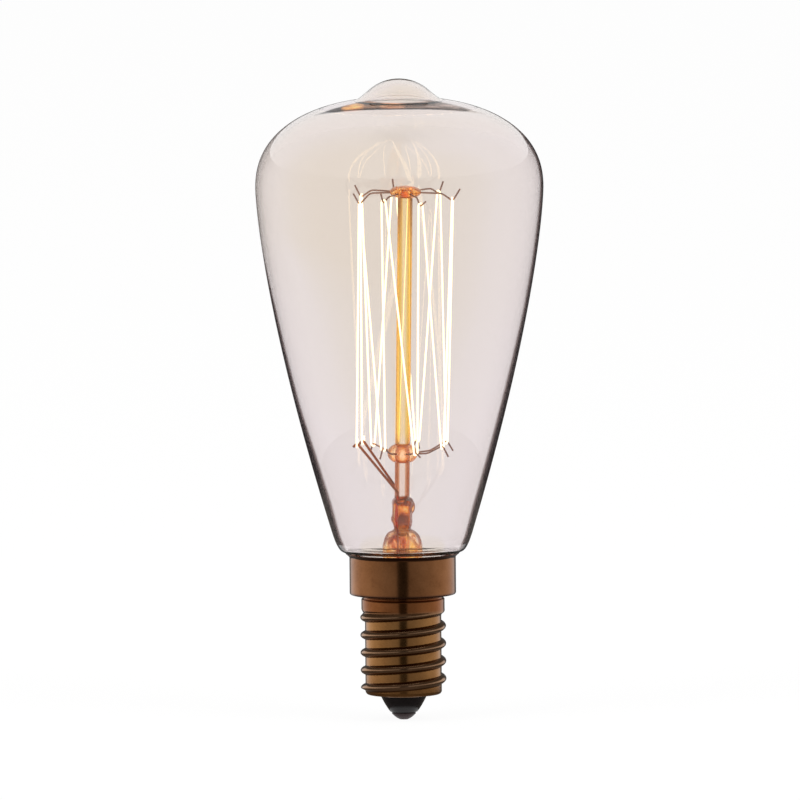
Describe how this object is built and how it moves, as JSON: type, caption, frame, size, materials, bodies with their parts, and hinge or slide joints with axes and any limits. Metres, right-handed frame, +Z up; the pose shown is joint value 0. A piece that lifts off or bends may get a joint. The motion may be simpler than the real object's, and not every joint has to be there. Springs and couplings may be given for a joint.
{
  "type": "filament light bulb",
  "caption": "Pear-shaped filament lamp with a squirrel-cage filament on wire hooks, a glass stem and a small brass screw cap.",
  "frame": {"origin": "middle of the centre contact's flat, at the lamp's lowest point", "axes": "+Z up along the lamp's axis from the contact to the crown; -Y faces the camera, +X to its right"},
  "size_m": [0.046, 0.046, 0.1027],
  "materials": {
    "clear_glass": "clear blown glass, faintly warm",
    "stem_glass": "clear lead glass lit amber from above",
    "lit_glass": "clear glass rod and beads lit amber by the filament",
    "support_wire": "dark drawn molybdenum wire",
    "filament": "glowing tungsten wire",
    "lead_wire": "dark nickel-plated wire",
    "copper_wire": "copper-clad wire",
    "cement": "baked basing cement",
    "cap_brass": "antiqued rolled brass, satin",
    "black_glass": "glossy black cap glass",
    "contact_brass": "darkened brass eyelet",
    "solder": "dull soft solder"
  },
  "bodies": {
    "root": {"envelope": "clear_glass", "stem_flare": "stem_glass", "exhaust_tube": "stem_glass", "stem_rod": "lit_glass", "upper_button": "lit_glass", "lower_bead": "lit_glass", "upper_hook_1": "support_wire", "upper_hook_2": "support_wire", "upper_hook_3": "support_wire", "upper_hook_4": "support_wire", "upper_hook_5": "support_wire", "upper_hook_6": "support_wire", "upper_hook_7": "support_wire", "lower_hook_1": "support_wire", "lower_hook_2": "support_wire", "lower_hook_3": "support_wire", "lower_hook_4": "support_wire", "lower_hook_5": "support_wire", "lower_hook_6": "support_wire", "filament": "filament", "inner_lead_front": "lead_wire", "inner_lead_back": "lead_wire", "seal_wire_front": "copper_wire", "seal_wire_back": "copper_wire", "outer_lead_centre": "copper_wire", "outer_lead_side": "copper_wire", "basing_cement": "cement", "screw_shell": "cap_brass", "insulator": "black_glass", "contact_eyelet": "contact_brass", "centre_solder": "solder", "side_solder": "solder"}
  },
  "joints": []
}
